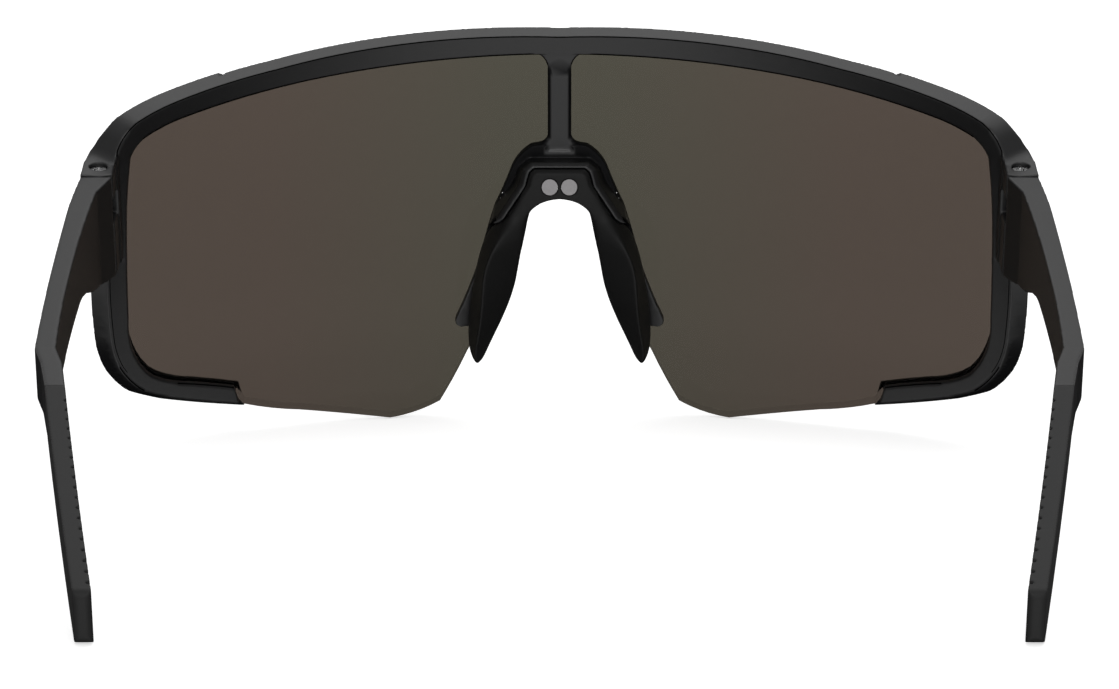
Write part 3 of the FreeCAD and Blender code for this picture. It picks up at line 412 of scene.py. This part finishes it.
# ---------------------------------------------------------------- the moulded pieces
HINGE_CORNER = 64.0         # outwards of this the front is its hinge corner
POST_EDGE = 1.85            # half the width of the post's rear face
POST_FOOT, POST_TOP = 36.8, 49.5


def mould_front():
    """Front frame: edges rounded, bevels at the opening and the post, two notches in the brow."""
    skin = Skin("front_frame", 0.135)
    x, y, z = skin.points.T.copy()
    wide = numpy.abs(x)
    depth = depth_behind(skin.points)

    opening = rear_edges(lambda p, wall: in_opening(p, wall) and abs(p.x) > 5)
    beside_rear_face = (depth > 1.9) & (depth < 3.0) & (wide > 4)
    near = distance_from(opening, skin.points, beside_rear_face, far=9.0)
    skin.chamfer(near, near < 2, FRAME_BACK, 0.25)
    skin.chamfer(POST_EDGE - wide, (wide < 2.4) & (z > POST_FOOT) & (z < POST_TOP), POST_BACK, 0.45)

    # all edges are rounded, but those at the joint with the temple stay crisp
    joint = ramp(y, 39.3, 40.2) * (wide > HINGE_CORNER)
    skin.relax(7, 1 - 0.75 * joint)
    # the brow runs softly into the side above the hinge, and the post into the skirt
    above_hinge = ramp(z, 44.6, 45.6) * ramp(36.0 - y, 0.0, 1.0) * ramp(51.0 - z, 0.0, 1.0)
    skin.relax(60, (wide > HINGE_CORNER) * above_hinge)
    skin.relax(40, bump_at(wide, 2.4, 1.3) * bump_at(z, 36.0, 1.6) * (depth > 2.6))

    notch_place = bump_at(wide, 51.4, 0.6) * (z > 46) * (depth < 1.2) * ramp(0.4 - depth, 0.0, 0.4)
    skin.press(notch_place * 0.35)
    skin.relax(1)
    skin.finish(195000)
    mark_painted_shade(skin)


def mark_painted_shade(skin):
    """Painted shade: mark where the finished front has no gleam, in its attribute matt, so that these places
    render darker.
    """
    points = skin.level_points()
    x, _, z = points.T
    wide = numpy.abs(x)
    depth = depth_behind(points)
    # the border of the skirt round its raised block, but not the foot of the post
    foot_half = 1.9 + 0.55 * numpy.clip(36.6 - z, 0, 1.2)
    foot = ramp(z - 34.2, 0.0, 0.5) * ramp(foot_half - wide, 0.0, 0.3)
    border = (depth > 2.1) * ramp(4.2 - depth, 0.0, 0.2) * ramp(37.0 - z, 0.0, 0.4) * ramp(z, 12.0, 18.0)
    matt = border * (1 - foot) * (wide < 18)
    # the bevels of the post
    matt += (wide < 2.0) * ramp(3.4 - depth, 0.0, 0.12) * ramp(z, POST_FOOT, 37.4) * ramp(50.0 - z, 0.0, 1.0)
    # the lower end of the outer walls
    matt += ramp(2.5 - depth, 0.0, 0.4) * ramp(wide, 58.0, HINGE_CORNER) * ramp(27.0 - z, 0.0, 13.0)
    marked = skin.made.data.attributes.new("matt", "FLOAT", "POINT")
    marked.data.foreach_set("value", numpy.clip(matt, 0, 1))


def mould_pad():
    """Nose pad: one soft surface, its saddle and wings blended into each other."""
    skin = Skin("nose_pad", 0.15)
    z = skin.points[:, 2].copy()
    skin.relax(6)
    skin.relax(40, ramp(29.2 - z, 0.0, 2.0))
    skin.relax(260, bump_at(z, 25.8, 4.2))
    skin.finish(120000)


def mould_temple(word):
    """Arm of one side, its edges rounded by the mould."""
    skin = Skin(f"temple_{word}", 0.16)
    skin.relax(8)
    skin.finish(60000)


def mould_sleeve(word):
    """Rubber sleeve of one side, with its grip notches kept open."""
    skin = Skin(f"temple_sleeve_{word}", 0.13)
    skin.relax(4)
    skin.finish(70000)


# ---------------------------------------------------------------- fine lines of painted shadow, and nibs, on the front
def grown(name, points, edges, sizes, shape, look):
    """A piece of the front that a node tree grows from level points, and from edges between them.

    sizes are the tree's named inputs, in mm, and shape makes its geometry from them."""
    mesh = bpy.data.meshes.new(name)
    mesh.from_pydata([LEVEL @ (point * MM) for point in points], edges, [])
    made = bpy.data.objects.new(name, mesh)
    scene.collection.objects.link(made)
    tree = bpy.data.node_groups.new(name, "GeometryNodeTree")
    for way in ("INPUT", "OUTPUT"):
        tree.interface.new_socket("Geometry", in_out=way, socket_type="NodeSocketGeometry")
    modifier = made.modifiers.new("grow", "NODES")
    sockets = [tree.interface.new_socket(word, in_out="INPUT", socket_type="NodeSocketFloat")
               for word in sizes]
    modifier.node_group = tree
    for socket, size in zip(sockets, sizes.values()):
        modifier[socket.identifier] = size * MM
    whole = add(tree, "GeometryNodeRealizeInstances",
                {"Geometry": shape(tree, add(tree, "NodeGroupInput").outputs)})
    dressed = add(tree, "GeometryNodeSetMaterial", {"Geometry": whole.outputs[0], "Material": looks[look]})
    add(tree, "NodeGroupOutput", {0: dressed.outputs[0]})
    applied(made)
    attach(made, nodes["front_frame"]["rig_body"])


def tube_along(tree, given):
    """A round tube along every edge."""
    path = add(tree, "GeometryNodeMeshToCurve", {"Mesh": given["Geometry"]})
    even = add(tree, "GeometryNodeResampleCurve", {"Curve": path.outputs[0], "Length": given["Step"]},
               mode="LENGTH")
    ring = add(tree, "GeometryNodeCurvePrimitiveCircle", {"Resolution": 8, "Radius": given["Radius"]})
    tube = add(tree, "GeometryNodeCurveToMesh", {"Curve": even.outputs[0], "Profile Curve": ring.outputs[0],
                                                 "Fill Caps": True})
    return tube.outputs[0]


def nibs_on(tree, given):
    """A small rounded nib on every point."""
    nib = add(tree, "GeometryNodeMeshIcoSphere", {"Radius": given["Radius"], "Subdivisions": 3})
    spread = add(tree, "GeometryNodeInstanceOnPoints", {"Points": given["Geometry"],
                                                        "Instance": nib.outputs[0]})
    return spread.outputs[0]


def painted_shadow_line(name, keep, radius, sunk, inset=0.0):
    """A fine dark tube along some edges: painted shadow that stands for the shaded bottom of a groove, which
    the mesh doesn't cut.

    inset moves it off the edge over the rear face, and sunk sets it into the plastic, in mm."""
    places, links = {}, []
    for start, stop, wall, rear in rear_edges(keep):
        pair = []
        for point in (start, stop):
            key = tuple(round(value, 2) for value in point)
            place, _, shifts = places.setdefault(key, (len(places), point, []))
            into = rear if inset else rear + wall
            shifts.append(-wall * inset - into.normalized() * sunk)
            pair.append(place)
        if pair[0] != pair[1]:
            links.append(pair)
    points = [point + sum(shifts, Vector()) / len(shifts) for _, point, shifts in places.values()]
    grown(name, points, links, {"Radius": radius, "Step": 0.4}, tube_along, "groove")


def on_skirt(x, z):
    """A level point just inside the rear face of the skirt."""
    tube = DROP_RADIUS - SKIRT_BACK - 0.08
    across = math.sqrt(tube ** 2 - (z - EQUATOR) ** 2) - DROP_RADIUS + BASE_RADIUS
    return Vector((x, BASE_RADIUS - math.sqrt(across * across - x * x), z))


def skirt_clips():
    """The bright ends of what are taken to be spring clips by the raised block, two on each side."""
    points = [on_skirt(side * x, z) for x, z in ((9.0, 28.3), (9.3, 27.4)) for side in (-1, 1)]
    grown("skirt_clips", points, [], {"Radius": 0.13}, nibs_on, "screw_steel")


for part in frame["record"]["subparts"]:
    mesh = nodes[part["node"]].data
    mesh.materials.clear()
    mesh.materials.append(looks[part["material_slot"]])

mould_front()
# painted shadows: dark tubes along the brow's crease, round the lens opening and down the outer sides
painted_shadow_line("brow_crease_painted_shadow", lambda p, wall: p.z > 44 and wall.z > 0.35, 0.1, 0.1)
painted_shadow_line("opening_painted_shadow", lambda p, wall: in_opening(p, wall) and (abs(p.x) > 20 or p.z > 38.5),
              0.11, 0.15)
painted_shadow_line("side_painted_shadow", lambda p, wall: 12 < p.z < 28.6 and p.x * wall.x > 0 and abs(p.x) > 60,
              0.08, 0.02, inset=0.6)
skirt_clips()
mould_pad()
for word in ("left", "right"):
    mould_temple(word)
    mould_sleeve(word)


# ---------------------------------------------------------------- floor, light and camera
def seen_rays(tree, *kinds):
    """1 for the named kinds of ray and 0 for all others."""
    rays = add(tree, "ShaderNodeLightPath")
    share = rays.outputs[kinds[0]]
    for kind in kinds[1:]:
        share = add(tree, "ShaderNodeMath", {0: share, 1: rays.outputs[kind]}, operation="MAXIMUM").outputs[0]
    return share


def mirrored_rays(tree):
    """1 for a ray that a surface mirrors.

    A ray that has passed through the lens counts as glossy too, and is taken off."""
    both = {0: seen_rays(tree, "Is Glossy Ray"), 1: seen_rays(tree, "Is Transmission Ray")}
    return add(tree, "ShaderNodeMath", both, operation="SUBTRACT", use_clamp=True).outputs[0]


def ray_parts(tree):
    """Sideways size of a ray's direction, how far it runs forward, and how steeply it falls."""
    surface = add(tree, "ShaderNodeNewGeometry")
    ray = add(tree, "ShaderNodeSeparateXYZ", {"Vector": surface.outputs["Incoming"]})
    sideways = add(tree, "ShaderNodeMath", {0: ray.outputs["X"]}, operation="ABSOLUTE").outputs[0]
    return sideways, ray.outputs["Y"], ray.outputs["Z"]


def faded_product(tree, *fades):
    """The product of some fades, each 1 up to a start and then falling to a low value at a stop."""
    product = 1.0
    for value, start, stop, low in fades:
        fade = add(tree, "ShaderNodeMapRange", {"Value": value, "From Min": start, "From Max": stop,
                                                "To Min": 1.0, "To Max": low}).outputs["Result"]
        product = add(tree, "ShaderNodeMath", {0: fade, 1: product}, operation="MULTIPLY").outputs[0]
    return product


def white_paper(name, lift):
    """A pale floor that the eye sees a little brighter than it is lit, so that it reads as white.

    lift is that extra brightness round the glasses, and it grows to 1 a metre away."""
    made, tree, shader = principled(name, Roughness=0.9, Specular_IOR_Level=0.0,
                                    Emission_Color=(1.0, 1.0, 1.0, 1.0))
    # Only for rays that a surface mirrors, the paper is dark ahead and to the sides where they
    # fall steeply, and bright behind and far away. This is an arrangement, as with dark cards.
    sideways, ahead, steep = ray_parts(tree)
    near = faded_product(tree, (sideways, 0.3, 0.75, 0.12), (ahead, 0.0, 0.25, 0.0))
    far = faded_product(tree, (steep, 0.2, 0.45, 0.0), (ahead, 0.1, 0.45, 0.0))
    arranged = add(tree, "ShaderNodeMath", {0: near, 1: far}, operation="MAXIMUM").outputs[0]
    shown = add(tree, "ShaderNodeMix", {"Factor": mirrored_rays(tree), "A": 1.0,
                                        "B": arranged}).outputs["Result"]
    mixed_shade(tree, shader, shown, ("#101010", "#f4f4f4"))
    share = seen_rays(tree, "Is Camera Ray", "Is Transmission Ray", "Is Glossy Ray")
    reach = add(tree, "ShaderNodeVectorMath", {0: add(tree, "ShaderNodeTexCoord").outputs["Object"]},
                operation="LENGTH").outputs["Value"]
    glow = add(tree, "ShaderNodeMapRange", {"Value": reach, "From Min": 0.25, "From Max": 1.0,
                                            "To Min": lift, "To Max": 1.0}).outputs["Result"]
    for seen in (share, shown):
        glow = add(tree, "ShaderNodeMath", {0: glow, 1: seen}, operation="MULTIPLY").outputs[0]
    tree.links.new(glow, shader.inputs["Emission Strength"])
    return made


FLOOR_HALF = 4.0            # metres
floor_mesh = bpy.data.meshes.new("floor")
corners = [(x * FLOOR_HALF, y * FLOOR_HALF, 0) for x, y in ((-1, -1), (1, -1), (1, 1), (-1, 1))]
floor_mesh.from_pydata(corners, [], [(0, 1, 2, 3)])
floor = bpy.data.objects.new("floor", floor_mesh)
scene.collection.objects.link(floor)
floor.location.z = -0.2 * MM
floor.data.materials.append(white_paper("paper", 0.66))

# The world lights softly, is a little brighter where a surface mirrors it, and white to the eye.
world = bpy.data.worlds.new("studio")
scene.world = world
world.use_nodes = True
sky = world.node_tree
soft = add(sky, "ShaderNodeMapRange", {"Value": mirrored_rays(sky), "To Min": 0.35, "To Max": 0.58})
sides_dimmed = faded_product(sky, (ray_parts(sky)[0], 0.6, 0.95, 0.6))
strength = add(sky, "ShaderNodeMath", {0: sides_dimmed, 1: soft.outputs["Result"]}, operation="MULTIPLY")
plain = seen_rays(sky, "Is Camera Ray", "Is Transmission Ray")
strength = add(sky, "ShaderNodeMath", {0: strength.outputs[0], 1: plain}, operation="MAXIMUM").outputs[0]
background = sky.nodes["Background"]
background.inputs["Color"].default_value = (1, 1, 1, 1)
sky.links.new(strength, background.inputs["Strength"])


def softbox(name, place, target, size, power):
    """A rectangular area lamp aimed at a point, which the camera doesn't see."""
    light = bpy.data.lights.new(name, "AREA")
    light.shape = "RECTANGLE"
    light.size, light.size_y = size
    light.energy = power
    lamp = bpy.data.objects.new(name, light)
    scene.collection.objects.link(lamp)
    lamp.location = place
    lamp.rotation_euler = (Vector(target) - Vector(place)).to_track_quat("-Z", "Y").to_euler()
    lamp.visible_camera = False
    lamp.visible_transmission = False


softbox("top_light", (-0.15, -0.25, 1.0), (0, -0.02, 0.03), (1.2, 0.9), 3.4)
softbox("back_light", (0.0, 0.95, 0.62), (0, -0.04, 0.03), (0.5, 0.4), 3.0)

# The camera stands behind the temple tips and looks forward and down at the inside of the lens.
CAMERA_RISE = math.radians(24)      # above the level frame
CAMERA_AWAY = 0.645                 # metres from the outside of the lens
sight = LEVEL @ Vector((0, 0, 0))
look = LEVEL.to_3x3() @ Vector((0, math.cos(CAMERA_RISE), math.sin(CAMERA_RISE)))
camera_data = bpy.data.cameras.new("camera")
camera_data.sensor_width = 36.0
camera_data.lens = 128.17
camera_data.clip_end = 20.0
camera = bpy.data.objects.new("camera", camera_data)
scene.collection.objects.link(camera)
camera.location = sight + look * CAMERA_AWAY
camera.rotation_euler = (-look).to_track_quat("-Z", "Y").to_euler()
scene.camera = camera
scene.view_settings.view_transform = "Standard"
